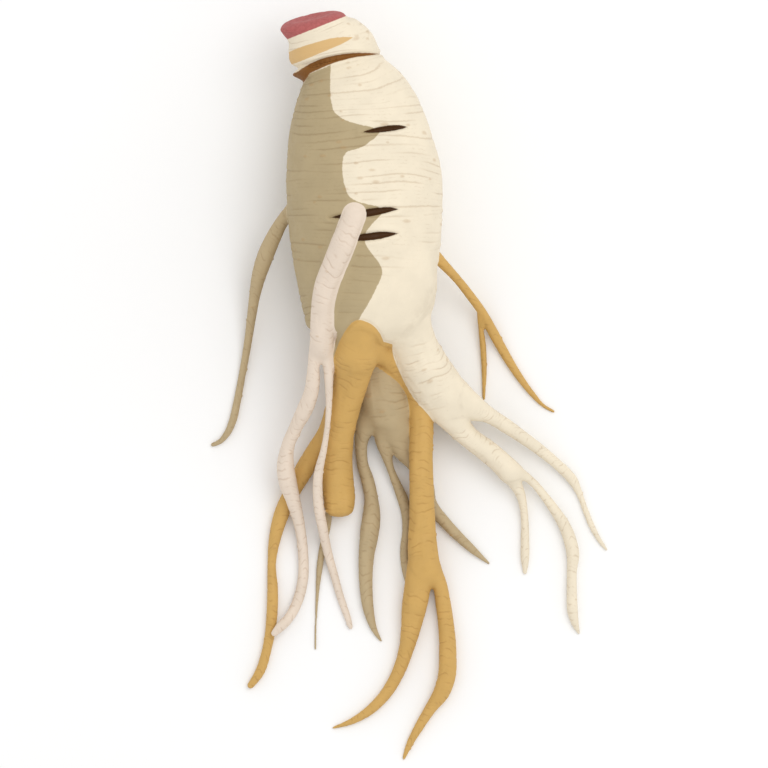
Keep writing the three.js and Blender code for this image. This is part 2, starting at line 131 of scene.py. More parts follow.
# Every other root: its name, the root it grows from, its colour, how far it flares into that root, and its
# stations down to the tip. A station is (x, y, height, radius) of the middle of the root.
ROOTS = [
    ("right_leg", "trunk", "cream", 3.5, [
        (6, -25, 17, 11.3), (8.65, -30.5, 16.6, 8.05), (12, -36.8, 15.4, 5.8), (14.5, -42.3, 13.4, 6.2),
        (17.3, -46.9, 11, 6.36), (20.55, -51.2, 8.6, 6.2)]),
    ("right_leg_outer", "right_leg", "cream", 1.5, [
        (23.1, -50.8, 10, 4.2), (27.5, -53.4, 8.8, 3.25), (30.3, -54.7, 7.8, 2.25), (36, -58.2, 5.9, 1.8),
        (38.6, -60, 5.2, 1.65), (43.75, -63.75, 3.5, 1.45), (48.25, -67.5, 2.2, 1.3),
        (51.9, -71.25, 1.4, 1.25), (53.75, -75, 0.9, 0.78), (55.1, -78.75, 0.75, 0.72),
        (56.6, -82.5, 0.7, 0.75), (58.6, -86.25, 0.55, 0.58), (60.35, -88.7, 0.4, 0.33)]),
    ("right_leg_inner", "right_leg", "cream", 1.5, [
        (21, -55, 9.4, 3.6), (23.6, -58.1, 8.4, 3.1), (26, -60.6, 7.6, 2.7), (30, -63.6, 6.5, 2.8),
        (34.15, -67.1, 5.3, 2.9), (36.1, -69, 4.8, 3)]),
    ("right_leg_inner_short", "right_leg_inner", "cream", 1, [
        (36.3, -70, 4.5, 2.4), (37.5, -72, 3.7, 1.75), (38.8, -74.7, 2.9, 1.3), (39.6, -78, 2, 1.02),
        (40, -82.5, 1.2, 1), (40, -86.75, 0.95, 1.1), (40, -91.25, 0.8, 1.05), (40, -94.4, 0.55, 0.5)]),
    ("right_leg_inner_long", "right_leg_inner", "cream", 1, [
        (38, -69.2, 4.6, 1.8), (40.6, -70.7, 3.9, 1.12), (42.4, -72.3, 3.4, 1.05),
        (45.1, -75.6, 2.7, 1.12), (47.5, -78.9, 2.2, 1.3), (49.75, -82.5, 1.7, 1.5),
        (51.25, -86.25, 1.65, 1.65), (52, -90, 1.55, 1.62), (51.75, -93.75, 1.3, 1.3),
        (51.7, -99.25, 1.35, 1.32), (52, -104.75, 1.15, 1.3), (52.9, -108.2, 0.7, 0.7),
        (53.5, -109.6, 0.4, 0.3)]),
    ("stump", "trunk", "golden", 2.2, [
        (-1.6, -35.2, 25, 4.5), (-2.2, -38.5, 22.2, 5.8), (-3.2, -44.25, 17.9, 4.85),
        (-5, -51.25, 13.3, 4.4), (-6.5, -58.25, 9.8, 4.15), (-6.97, -65, 7.2, 3.9),
        (-6.87, -71.25, 5.2, 4.08), (-6.45, -76.25, 4.2, 4.0), (-6.5, -78.3, 4, 3.75)]),
    ("stump_tail", "stump", "golden", 1.5, [
        (-7.75, -53.75, 10.5, 2), (-10.52, -59.3, 7.3, 1.45), (-12.75, -63.85, 5.2, 1.98),
        (-14.97, -68.25, 3.4, 2.36), (-18, -73.75, 2.1, 2.05), (-20.75, -79.5, 1.8, 1.95),
        (-22.6, -86.25, 1.4, 1.5), (-23.3, -91.75, 1, 1.1), (-23.1, -98.75, 1.25, 1.38),
        (-23.25, -104.75, 1.25, 1.42), (-24.3, -112.5, 1.05, 1.2), (-26.7, -119.95, 1.05, 1.15),
        (-28.6, -122.6, 0.9, 0.85)]),
    ("stump_hair", "stump", "taupe", 0.6, [
        (-8, -75.75, 2.4, 1.25), (-9, -79.75, 1.2, 0.95), (-9.5, -83.25, 0.85, 0.9),
        (-10.5, -87.5, 0.8, 0.85), (-11.27, -92.5, 0.7, 0.82), (-11.85, -98.75, 0.5, 0.48),
        (-12.25, -105.75, 0.4, 0.3), (-12.4, -113.5, 0.35, 0.25)]),
    ("middle_leg", "stump", "golden", 1.2, [
        (0.5, -37.5, 20.6, 4.2), (4.85, -39.85, 16, 3), (8.6, -43.1, 12.2, 3.2),
        (10.6, -44.9, 10.8, 3.15), (12.7, -47.8, 9.8, 3.1), (13.78, -51.3, 9.2, 3.03),
        (14.2, -56, 8.9, 2.9), (14, -63.75, 8.5, 3), (14.1, -72.5, 7.6, 3.05), (14.3, -81.25, 6.4, 3.32),
        (14.42, -88.75, 5.2, 3.8), (14.85, -93.25, 4.4, 3.95)]),
    ("middle_leg_left", "middle_leg", "golden", 0.8, [
        (13.8, -93.25, 4.2, 3.4), (13.1, -98.25, 3.4, 3.3), (12.3, -103.25, 2.9, 3.15),
        (11.4, -108.75, 2.3, 2.45), (10.25, -113.75, 1.8, 1.9), (8, -120, 1.45, 1.6),
        (5.1, -124.8, 1.3, 1.45), (0.8, -129.1, 1.05, 1.18), (-3.78, -131.79, 0.75, 0.75),
        (-7.9, -133.2, 0.4, 0.3)]),
    ("middle_leg_right", "middle_leg", "golden", 0.8, [
        (16.5, -93.65, 4, 2.7), (18.6, -97.5, 3, 1.93), (19.6, -102.75, 1.9, 1.95),
        (20.4, -108.75, 2, 2.05), (20.7, -115, 2.1, 2.2), (20.4, -120.5, 2.1, 2.25),
        (19.15, -124.3, 1.95, 2.1), (16.45, -128.25, 1.4, 1.47), (13.8, -132.5, 1.05, 1.2),
        (10.9, -137.75, 0.7, 0.78), (9.7, -140.8, 0.4, 0.4)]),
    ("back_leg", "trunk", "taupe", 2.5, [
        (2.25, -37.5, 9, 7), (3.6, -43.75, 8, 6.8), (4.5, -49.5, 7, 6.6), (5.6, -53.2, 6.4, 6.2)]),
    ("back_leg_left", "back_leg", "taupe", 1, [
        (0.6, -55.6, 5.4, 3.2), (-0.25, -58.6, 4.6, 2.5), (-0.9, -61.6, 3.7, 1.7),
        (-0.95, -64.3, 2.9, 1.5), (-0.6, -67.3, 2.1, 1.45), (0.6, -71.2, 1.6, 1.65),
        (1.5, -75.5, 1.65, 1.72), (1.6, -80.5, 2.1, 2.3), (1.1, -84.5, 2.1, 2.4),
        (0.35, -90.25, 1.8, 1.97), (0.25, -97.5, 1.5, 1.68), (1, -104.25, 1.15, 1.3),
        (2.5, -109, 0.65, 0.7), (4, -111.5, 0.35, 0.3)]),
    ("back_leg_middle", "back_leg", "taupe", 1.2, [
        (4.9, -57, 5.2, 3.1), (4.95, -61.8, 4.3, 2.35), (5.5, -65.3, 3.4, 1.4), (6.1, -67.6, 2.8, 1.02),
        (7.5, -71.3, 2, 1.07), (9.35, -75.8, 1.3, 1.38), (10.4, -79.5, 1.25, 1.38),
        (10.5, -83.75, 1.1, 1.2), (9.9, -89.25, 1.1, 1.17), (10.4, -93.5, 1.05, 1.25),
        (11, -97, 0.9, 0.95)]),
    ("back_leg_right", "back_leg", "taupe", 1.5, [
        (8.3, -57.7, 5.2, 4.2), (9.85, -63.15, 3.9, 3.25), (13, -67.6, 2.6, 2.25), (15.2, -72.8, 2, 2.05),
        (16.1, -77, 1.85, 1.85), (19.6, -81.4, 1.5, 1.45), (23.05, -85.05, 1.3, 1.27),
        (26.8, -88.55, 0.95, 0.98), (30.95, -92.1, 0.4, 0.3)]),
    ("front_arm", "trunk", "pink", 0.6, [
        (-2.5, -4.7, 34.8, 2.85), (-3.9, -8, 35, 2.85), (-5.52, -12.2, 34.2, 3),
        (-7.66, -17.3, 32.6, 2.98), (-9.53, -22.3, 30.4, 3), (-10.4, -26.6, 28.6, 2.95),
        (-10.6, -32.9, 26.1, 3.1), (-10.8, -37.8, 24, 3.05)]),
    ("front_arm_left", "front_arm", "pink", 0.6, [
        (-12, -38.75, 23.3, 2.1), (-12.8, -42.25, 21.6, 1.55), (-13, -46.25, 19.6, 1.8),
        (-13.5, -49.5, 17.8, 1.9), (-14.9, -53.3, 15.6, 2.05), (-17.25, -58, 12.7, 1.75),
        (-19.4, -63.25, 10, 1.75), (-19.9, -67.25, 8.3, 2.15), (-19.4, -71.5, 7, 2.35),
        (-18, -76.25, 5.6, 1.88), (-16.4, -82.5, 3.4, 1.42), (-15.5, -89.25, 1.7, 1.32),
        (-15.55, -96.25, 1.25, 1.35), (-16.75, -101.25, 1.4, 1.35), (-18.8, -105.4, 2.3, 1.28),
        (-21.65, -108.5, 3.4, 1.15), (-22.65, -109.55, 3.6, 0.85)]),
    ("front_arm_right", "front_arm", "pink", 0.6, [
        (-9.9, -38.75, 23.2, 2.1), (-9.2, -42, 21.9, 1.55), (-9.05, -46.25, 20.6, 1.15),
        (-9, -49.25, 19.4, 0.98), (-9.25, -56.25, 16.3, 0.74), (-10.22, -63.25, 13.3, 0.84),
        (-11.7, -70, 10.3, 1.2), (-11.75, -76.25, 7.9, 1.3), (-10.75, -82.5, 5, 1.3),
        (-9.4, -89, 2.6, 1.15), (-7.8, -94.75, 1.3, 1.05), (-5.9, -101.25, 0.85, 0.95),
        (-4.3, -105.75, 0.75, 0.82), (-3.6, -108, 0.6, 0.6)]),
    ("left_arm", "trunk", "taupe", 0.4, [
        (-17.2, -2.25, 16, 1.7), (-20.3, -6, 14.6, 1.6), (-23.2, -11.25, 12.6, 1.98),
        (-25, -15.5, 10.9, 2.1), (-26.4, -19.75, 8.9, 1.88), (-27.5, -24.75, 6.5, 1.45),
        (-28.4, -30.75, 4.3, 1.17), (-29.5, -38.25, 2.1, 1), (-30.75, -45.25, 1, 0.92),
        (-32, -51.75, 0.85, 0.95), (-33.15, -56.7, 0.85, 0.97), (-34.6, -59.8, 0.8, 0.83),
        (-36.35, -61.7, 0.65, 0.65), (-38.08, -62.45, 0.55, 0.54)]),
    ("right_arm", "trunk", "golden", 0.4, [
        (16.25, -13.7, 13.5, 1.6), (19.3, -17, 11.8, 1.32), (23, -21, 9.3, 1.1), (26.1, -24.9, 6.7, 1.13),
        (29.33, -29.38, 4, 1.15), (31.7, -33.75, 2.4, 1.3), (34.7, -39.25, 1.2, 1.2),
        (38.25, -45, 0.9, 0.97), (41.7, -49.6, 0.7, 0.72), (44.65, -52.7, 0.45, 0.45),
        (47.1, -54.1, 0.38, 0.38)]),
    ("right_arm_twig", "right_arm", "golden", 0.3, [
        (28.6, -28.7, 4.4, 0.8), (28.8, -31.75, 3.2, 0.66), (29.47, -37.5, 1.5, 0.79),
        (29.8, -43.75, 0.75, 0.68), (29.75, -48.25, 0.5, 0.48), (29.7, -51, 0.35, 0.35)]),
]
# No radius is smaller than this.
THINNEST = 0.28
# A curve through rings or stations has at least so many steps.
FEWEST_STEPS = 4

# A ring has so many sides on the trunk, on a root whose radius passes the thick one, and on a thin root.
TRUNK_SIDES = 72
THICK_SIDES = 32
THIN_SIDES = 16
THICK_RADIUS = 2.6
# The rings of a round end lie at these turns from its rim, in degrees.
END_TURNS = (25, 50, 70, 84)
# Two ends are blunt: they are this long, as a share of their radius.
BLUNT_ENDS = {"trunk": 0.5, "stump": 0.6}

# A fork is filled further on top than at its sides, and soil with painted shade lies less far out in it, by
# these many times.
TOP_SPREAD = 2.5
FORK_SOIL_AND_SHADE_SPREAD = 0.8
# The forks are smoothed so many times over, and their tops more often.
FORK_PASSES = 24
TOP_PASSES = 4 * FORK_PASSES
# A point whose depth in a fork is less than this isn't smoothed.
FORK_EDGE = 0.05
# In a fork the skin goes from side to top as its normal turns up, between these heights of the normal.
SIDE_TO_TOP = (0.15, 0.8)
# The whole skin is smoothed once, and the head, which starts here, twice more.
SKIN_PASSES = 1
HEAD_START = 30
HEAD_PASSES = 2


# Outlines of the marks on top of the root, seen from above. Each is a few strokes, joined at sharp corners.

# The taupe zone is painted shade on the trunk's left side.
SHADED_SIDE_ZONE = [
    [(-8.6, 32.5), (-8.7, 29), (-8.7, 26), (-8.5, 23.7), (-7.75, 21), (-6.6, 19.7), (-4.7, 18.7),
     (-1.75, 17.7), (1.8, 16.9), (3.8, 15.9)],
    [(3.8, 15.9), (2.8, 14.6), (1.2, 13.3), (-1, 11.9), (-3.2, 11.2), (-4.5, 10.8), (-5.2, 10),
     (-5.6, 8.4), (-5.7, 6.7), (-5.4, 3.9), (-4.8, 1.5), (-4, -0.3), (-2.5, -1.3), (0.3, -2.2),
     (3.5, -3.1), (4.6, -4.4)],
    [(4.6, -4.4), (2.9, -6.1), (1.4, -7.7), (0.3, -9.2), (-0.1, -10.7), (0.2, -12.3), (1.3, -14.1),
     (3.2, -16.5), (4.1, -18.2), (4.3, -19.4), (3.9, -20.9), (2.4, -24.1), (0.3, -28.1), (-1.6, -31.2),
     (-3.2, -34.7), (-3.4, -38), (-1, -44)],
    [(-1, -44), (-40, -44), (-40, 27)],
    [(-15.2, 28.1), (-14, 30.1), (-11.4, 31.3), (-8.6, 32.5)],
]
# The fold under the head is cut in, and its brown is painted shade.
GROOVE = [
    [(-20, 30.4), (-17.4, 30.6), (-15.9, 31.5), (-13.8, 32.8), (-11.3, 33.9), (-8, 34.8), (-4, 35.4),
     (0.1, 35.55), (4.4, 35.35)],
    [(4.4, 35.35), (0.9, 34.85), (-2, 34.5), (-5.1, 33.8), (-8.6, 32.7), (-11.3, 31.55), (-13.8, 30.4)],
    [(-13.8, 30.4), (-15.2, 28.3), (-17, 26.5), (-21, 27.5)],
]
# The tan band on the head is painted shade.
SHADE_BAND = [
    [(-21, 34.8), (-18.9, 35.8), (-15.4, 37.2), (-12.1, 38.2), (-8.2, 39.2), (-5.1, 39.5), (-3.1, 39.45)],
    [(-3.1, 39.3), (-5.1, 38.1), (-8, 36.8), (-12.1, 35.1), (-15.4, 33.7), (-17.8, 32.8), (-21, 31.6)],
]
SCAR = [[(-19.2, 39), (-4.1, 45), (4, 48)], [(4, 52), (-30, 52), (-30, 34.8)]]
# The creases are cut in, and their dark brown is painted shade.
CREASES = [
    [[(-0.9, 15.6), (0.9, 16.3), (3.7, 17.05), (7.2, 17.5), (9.5, 17.35), (10.8, 16.95)],
     [(10.8, 16.95), (8.5, 16.35), (5.6, 15.85), (1.5, 15.55), (-0.9, 15.6)]],
    [[(-8.9, -5.65), (-6.2, -4.9), (0.7, -3.5), (4.2, -3.1), (7, -3.15), (8.4, -3.6)],
     [(8.4, -3.6), (7, -4), (4.2, -4.8), (0.3, -5.5), (-6.4, -5.8), (-8.9, -5.65)]],
    [[(-4.8, -11.4), (-1.1, -9.85), (1.6, -9.4), (4.2, -9.15), (6.7, -9.3), (8.4, -9.65)],
     [(8.4, -9.65), (6.7, -10.2), (4.2, -10.9), (1.6, -11.3), (-1.5, -11.5), (-4.8, -11.4)]],
]
FORK_GOLD = [
    [(-9.5, -46), (-7.4, -39.3), (-6.48, -36.8), (-5.45, -34.9), (-4.3, -33.1), (-3.2, -31.9),
     (-1.9, -31.25), (-0.2, -31.5), (1.3, -32.15), (2.75, -33.3), (3.95, -35), (4.65, -36.7)],
    [(4.65, -36.7), (6.85, -37.3)],
    [(6.85, -37.3), (6.9, -39.3), (7.5, -41.5), (8.95, -44.9), (10.7, -48.4), (12.8, -51.4)],
    [(12, -56), (-12, -56)],
]


# Shaping

def smooth_rows(rows, step):
    """Rows of numbers, whose first three are a place, joined by a smooth curve and read in steps along."""
    rows = np.array(rows, float)
    gaps = np.linalg.norm(np.diff(rows[:, :3], axis=0), axis=1)
    knots = np.concatenate([[0.0], np.cumsum(gaps)])
    slopes = np.gradient(rows, knots, axis=0)
    count = max(FEWEST_STEPS, int(round(knots[-1] / step)))
    at = np.linspace(0.0, knots[-1], count + 1)
    first = np.clip(np.searchsorted(knots, at, side="right") - 1, 0, len(gaps) - 1)
    span = gaps[first][:, None]
    t = (at[:, None] - knots[first][:, None]) / span
    start, end = rows[first], rows[first + 1]
    leave, arrive = slopes[first] * span, slopes[first + 1] * span
    return (start * (2 * t**3 - 3 * t**2 + 1) + leave * (t**3 - 2 * t**2 + t)
            + end * (3 * t**2 - 2 * t**3) + arrive * (t**3 - t**2))


def unit(vectors):
    """The vectors with a length of 1."""
    return vectors / np.linalg.norm(vectors, axis=-1, keepdims=True)


def ramp(values, low, high):
    """0 below low, 1 above high, and an even S between."""
    t = np.clip((values - low) / (high - low), 0, 1)
    return t * t * (3 - 2 * t)


def closer(height):
    """How much nearer the picture's middle a high place has to be, to be seen where a level one is."""
    return 1 - (height - PICTURE_LEVEL) / CAMERA_AWAY


def true_places(rows):
    """Rows whose x and y are as the camera sees them, put where they really are."""
    rows = np.array(rows, float)
    rows[:, :2] = PICTURE_MIDDLE + (rows[:, :2] - PICTURE_MIDDLE) * closer(rows[:, 2:3])
    return rows


def seen_places(points):
    """The x and y at which the camera sees points."""
    return PICTURE_MIDDLE + (points[:, :2] - PICTURE_MIDDLE) / closer(points[:, 2:3])


def noise_at(*columns):
    """Noise from -1 to 1 at every place."""
    return np.array([noise.noise(Vector(place)) for place in np.column_stack(columns)])


class Root:
    """One root as a row of rings: the middle, the radius, and the two directions that each ring lies in."""

    def __init__(self, name, parent, colour, flare, rows, side, rise, depth=1.0):
        self.name = name
        self.parent = parent
        self.colour = colour
        self.flare = flare
        self.middle = rows[:, :3]
        self.radius = np.maximum(rows[:, 3], THINNEST)
        self.side = side
        self.rise = rise
        self.axis = np.cross(side, rise)
        self.depth = depth
        steps = np.linalg.norm(np.diff(self.middle, axis=0), axis=1)
        self.along = np.concatenate([[0.0], np.cumsum(steps)])
        self.start = 0.0

    def ring(self, index, width=1.0, past=0.0):
        """Places a unit circle at a ring, made narrower and moved past it along the root."""
        matrix = Matrix.Identity(4)
        radius = self.radius[index] * width
        matrix.col[0].xyz = self.side[index] * radius
        matrix.col[1].xyz = self.rise[index] * radius * self.depth
        matrix.col[2].xyz = self.axis[index]
        matrix.col[3].xyz = self.middle[index] + self.axis[index] * past
        return matrix

    def round_end(self, index, length=1.0):
        """Rings that close the root in a round end at its first or last ring."""
        inner = 1 if index == 0 else index - 1
        outward = np.dot(self.axis[index], self.middle[index] - self.middle[inner])
        reach = math.copysign(1.0, float(outward)) * length * self.radius[index]
        turns = [math.radians(degrees) for degrees in END_TURNS]
        return [self.ring(index, math.cos(turn), reach * math.sin(turn)) for turn in turns]


def trunk():
    """The trunk, from its own rings."""
    rows = []
    for left_x, left_y, right_x, right_y, height, nod in TRUNK_RINGS:
        across = (right_x - left_x, right_y - left_y)
        lean = math.atan2(across[1], across[0])
        middle = ((left_x + right_x) / 2, (left_y + right_y) / 2, height)
        rows.append((*middle, math.hypot(*across) / 2, lean, math.radians(nod)))
    rows = smooth_rows(true_places(rows), RING_STEP)
    lean, nod = rows[:, 4:5], rows[:, 5:6]
    side = np.hstack([np.cos(lean), np.sin(lean), 0 * lean])
    headward = np.cross(UP, side)
    rise = UP * np.cos(nod) - headward * np.sin(nod)
    return Root("trunk", None, "cream", 0, rows, side, rise, TRUNK_DEPTH)


def branch(name, parent, colour, flare, stations):
    """Any other root, whose rings stand square to the way that its stations go."""
    rows = smooth_rows(true_places(stations), RING_STEP)
    tangent = unit(np.gradient(rows[:, :3], axis=0))
    side = unit(np.cross(UP, tangent))
    return Root(name, parent, colour, flare, rows, side, np.cross(tangent, side))


def all_roots():
    """The trunk and every root on it, each with where it starts along the one it grows from."""
    roots = {"trunk": trunk()}
    for name, parent, colour, flare, stations in ROOTS:
        root = branch(name, parent, colour, flare, stations)
        older = roots[parent]
        joined = np.linalg.norm(older.middle - root.middle[0], axis=1).argmin()
        root.start = older.start + older.along[joined]
        roots[name] = root
    return list(roots.values())


def skin_over(rings, sides):
    """A closed skin: a circle is put at the first ring and extruded from ring to ring."""
    bm = bmesh.new()
    circle = bmesh.ops.create_circle(bm, segments=sides, radius=1.0)["verts"]
    bmesh.ops.transform(bm, matrix=rings[0], verts=circle)
    edges = bm.edges[:]
    for last, ring in zip(rings, rings[1:]):
        grown = bmesh.ops.extrude_edge_only(bm, edges=edges)["geom"]
        front = {part for part in grown if isinstance(part, bmesh.types.BMVert)}
        grown_edges = [part for part in grown if isinstance(part, bmesh.types.BMEdge)]
        edges = [edge for edge in grown_edges if front.issuperset(edge.verts)]
        bmesh.ops.transform(bm, matrix=ring @ last.inverted(), verts=list(front))
    ends = [edge for edge in bm.edges if edge.is_boundary]
    bmesh.ops.holes_fill(bm, edges=ends, sides=sides)
    bmesh.ops.recalc_face_normals(bm, faces=bm.faces)
    return bm


def root_skin(root):
    """One root's closed skin. The trunk starts with its stem scar, and every other root with a round end."""
    last = len(root.radius) - 1
    rings = [root.ring(index) for index in range(last + 1)]
    if root.name == "trunk":
        start = [root.ring(0, width, -stand) for width, stand in SCAR_STEPS]
        sides = TRUNK_SIDES
    else:
        start = root.round_end(0)
        sides = THICK_SIDES if root.radius.max() > THICK_RADIUS else THIN_SIDES
    end = root.round_end(last, BLUNT_ENDS.get(root.name, 1.0))
    return skin_over(start[::-1] + rings + end, sides)


def modified(mesh, kind, **settings):
    """The mesh after one modifier."""
    holder = bpy.data.objects.new("holder", mesh)
    bpy.context.scene.collection.objects.link(holder)
    modifier = holder.modifiers.new(kind.title(), kind)
    for name, value in settings.items():
        setattr(modifier, name, value)
    shown = holder.evaluated_get(bpy.context.evaluated_depsgraph_get())
    result = bpy.data.meshes.new_from_object(shown)
    bpy.data.objects.remove(holder)
    bpy.data.meshes.remove(mesh)
    return result


def fused_skin(roots):
    """All the roots grown together in one skin."""
    whole = bmesh.new()
    for root in roots:
        part = root_skin(root)
        mesh = bpy.data.meshes.new(root.name)
        part.to_mesh(mesh)
        part.free()
        whole.from_mesh(mesh)
        bpy.data.meshes.remove(mesh)
    mesh = bpy.data.meshes.new("grown")
    whole.to_mesh(mesh)
    whole.free()
    return modified(mesh, "REMESH", mode="VOXEL", voxel_size=VOXEL)


def read_vertices(mesh, name):
    """The vertices' places or normals as an array."""
    values = np.empty(len(mesh.vertices) * 3, np.float32)
    mesh.vertices.foreach_get(name, values)
    return values.reshape(-1, 3).astype(float)


def push_out(mesh, push):
    """Moves each vertex along its normal, but never below the surface that the root lies on."""
    points = read_vertices(mesh, "co") + read_vertices(mesh, "normal") * push[:, None]
    points[:, 2] = np.maximum(points[:, 2], 0)
    mesh.vertices.foreach_set("co", points.astype(np.float32).ravel())
    mesh.update()


def soften(mesh, chosen, times, heights_only=False):
    """Smooths the chosen vertices of a mesh, or only how high they stand."""
    level = not heights_only
    bm = bmesh.new()
    bm.from_mesh(mesh)
    bm.verts.ensure_lookup_table()
    verts = [bm.verts[index] for index in chosen]
    for _ in range(times):
        bmesh.ops.smooth_vert(
            bm, verts=verts, factor=0.5, use_axis_x=level, use_axis_y=level, use_axis_z=True)
    bm.to_mesh(mesh)
    bm.free()
    mesh.update()


class Growth:
    """Where the skin's points are among the roots: how far off each root's surface, and where along it."""

    # A root is looked for this far around it, and no distance is more than the far one.
    AROUND = 5.0
    FAR = 9.0
    # The trunk's skin gives way to a root's over about this distance.
    GENTLE = 0.9
    # So many points are measured together, which keeps the memory small.
    TOGETHER = 20000
    # Among the trunk's rings a point takes the one whose plane is closest, and this share of how far away
    # the ring is counts too. Further past it than the slack, the point is off the trunk's end.
    NEARER = 0.05
    SLACK = 1.0
    # A fork is where one of its two roots is the nearest one, or within this of it.
    CLOSE = 0.5
    # The fill in a fork is this thick, as a share of its reach.
    FILL = 0.25
    # A point goes from the free skin into a fork between these depths.
    FREE_TO_FORK = (0.1, 0.6)
    # A root's own skin begins over so many of its first radius.
    BEGINNING = 1.6

    def __init__(self, points, roots):
        self.points = points
        self.roots = roots
        self.off = np.full((len(roots), len(points)), self.FAR)
        self.ring = np.zeros((len(roots), len(points)), int)
        for index, root in enumerate(roots):
            reach = root.radius.max() + self.AROUND
            low, high = root.middle.min(0) - reach, root.middle.max(0) + reach
            near = np.flatnonzero(((points > low) & (points < high)).all(1))
            for chunk in np.array_split(near, len(near) // self.TOGETHER + 1):
                off, ring = self.measure(root, points[chunk])
                self.off[index, chunk] = np.minimum(off, self.FAR)
                self.ring[index, chunk] = ring
        self.nearest = self.off.argmin(0)
        self.beside = self.off[1:].argmin(0) + 1
        self.trunk_margin = self.off[1:].min(0) - self.off[0]
        self.on_trunk = 1 / (1 + np.exp(-self.trunk_margin / self.GENTLE))

    def measure(self, root, points):
        """How far points are off a root's surface, and the ring that each is at."""
        gap = points[:, None, :] - root.middle[None]
        away = np.linalg.norm(gap, axis=2)
        rows = np.arange(len(points))
        if root.name != "trunk":
            spread = away - root.radius
            ring = spread.argmin(1)
            return spread[rows, ring], ring
        ring = (np.abs((gap * root.axis).sum(2)) + self.NEARER * away).argmin(1)
        out = gap[rows, ring]
        across = (out * root.side[ring]).sum(1)
        over = (out * root.rise[ring]).sum(1) / root.depth
        past = np.abs((out * root.axis[ring]).sum(1))
        off = np.hypot(across, over) - root.radius[ring]
        return np.where(past > self.SLACK, np.maximum(off, past), off), ring

    def local(self, owner):
        """Each point's place across, over and along the root it is given, and the root's radius there."""
        place = np.zeros((len(self.points), 3))
        radius = np.ones(len(self.points))
        for index, root in enumerate(self.roots):
            mine = np.flatnonzero(owner == index)
            ring = self.ring[index, mine]
            out = self.points[mine] - root.middle[ring]
            radius[mine] = root.radius[ring]
            place[mine, 0] = (out * root.side[ring]).sum(1)
            place[mine, 1] = (out * root.rise[ring]).sum(1)
            place[mine, 2] = root.start + root.along[ring] + (out * root.axis[ring]).sum(1)
        return place, radius

    def angle_fill(self, widen=1.0):
        """How deep each point lies in the angle between a root and its parent, and the fill there."""
        names = [root.name for root in self.roots]
        nearest = self.off.min(0)
        depth = np.zeros(len(self.points))
        fill = np.zeros(len(self.points))
        for index, root in enumerate(self.roots[1:], 1):
            reach = root.flare * widen
            own, older = self.off[index], self.off[names.index(root.parent)]
            close = np.minimum(own, older) < nearest + self.CLOSE
            here = np.clip(1 - np.abs(own - older) / reach, 0, 1) * close
            depth = np.maximum(depth, here)
            fill = np.maximum(fill, self.FILL * reach * here**2)
        return depth, fill

    def free(self):
        """1 where a root runs free, down to 0 in a fork and at the rounded start of a root."""
        in_fork = ramp(self.angle_fill(TOP_SPREAD)[0], *self.FREE_TO_FORK)
        begun = np.ones(len(self.points))
        for index, root in enumerate(self.roots[1:], 1):
            mine = self.beside == index
            begun[mine] = ramp(root.along[self.ring[index, mine]], 0, self.BEGINNING * root.radius[0])
        return (1 - in_fork) * (self.on_trunk + (1 - self.on_trunk) * begun)

    def margin(self, mine, others, lift):
        """How much nearer each point is to some roots than to others, in millimetres, with the cream and
        taupe ones among the others lifted out by so much."""
        pale = np.array([self.roots[index].colour in ("cream", "taupe") for index in others])
        off = self.off[others] - lift * pale[:, None]
        return off.min(0) - self.off[mine].min(0)


# Marks

# An edge is measured this far outside its outline, a smooth stroke has a point at each step, and so many
# points of the skin are measured together.
EDGE_REACH = 3.0
OUTLINE_STEP = 0.35
OUTLINE_TOGETHER = 4000


def outline(strokes):
    """A closed outline: strokes of four points or more are smooth curves, and strokes meet at corners."""
    curves = [smooth_rows(stroke, OUTLINE_STEP) if len(stroke) > 3 else np.array(stroke, float)
              for stroke in strokes]
    return np.vstack(curves)


def inside(points, strokes):
    """How far each point is inside an outline seen from above, in millimetres. Outside it, less than 0."""
    seen = seen_places(points)
    start = outline(strokes)
    run = np.roll(start, -1, axis=0) - start
    length = np.maximum((run**2).sum(1), 1e-9)
    edge = np.full(len(points), -EDGE_REACH)
    low, high = start.min(0) - EDGE_REACH, start.max(0) + EDGE_REACH
    near = np.flatnonzero(((seen > low) & (seen < high)).all(1))
    for chunk in np.array_split(near, len(near) // OUTLINE_TOGETHER + 1):
        gap = seen[chunk, None] - start[None]
        t = np.clip((gap * run).sum(2) / length, 0, 1)
        away = np.linalg.norm(gap - t[:, :, None] * run, axis=2).min(1)
        spans = (gap[:, :, 1] >= 0) != (gap[:, :, 1] >= run[:, 1])
        with np.errstate(divide="ignore", invalid="ignore"):
            left = gap[:, :, 0] < run[:, 0] * gap[:, :, 1] / run[:, 1]
        odd = (spans & left).sum(1) % 2 == 1
        edge[chunk] = np.maximum(np.where(odd, away, -away), -EDGE_REACH)
    return edge


# The cream side and the taupe side, which is painted shade, meet on a wandering line under the trunk, and
# the painted shade stops short of the neck.
UNDER_LINE = [(-3, 34), (-5, 22), (-1, 10), (-4, -2), (1, -14), (-2, -26), (0, -42)]
NECK_GAP = 0.5
# The plane in which the neck is thinnest goes through this place, and leans by this much along x and z.
NECK_MIDDLE = (-5.75, 31.5, 18.5)
NECK_LEAN = (0.26, 0.096)
# Between these heights what is drawn on top gives way to what goes on below.
SHADED_SIDE_HEIGHTS = (7, 13)
GROOVE_SIDE = (12, 18)
BAND_SIDE = (9, 19)
# Below, the groove is a ring this wide to each side, and the band is narrower by this much to each side.
GROOVE_HALF = 0.7
BAND_TAPER = 2.2
# The creases are only on top, above this height.
CREASE_LOW = 20


def past_neck(points):
    """How far each point is on the head's side of the neck's plane."""
    x, y, z = (points - NECK_MIDDLE).T
    return y - NECK_LEAN[0] * x - NECK_LEAN[1] * z


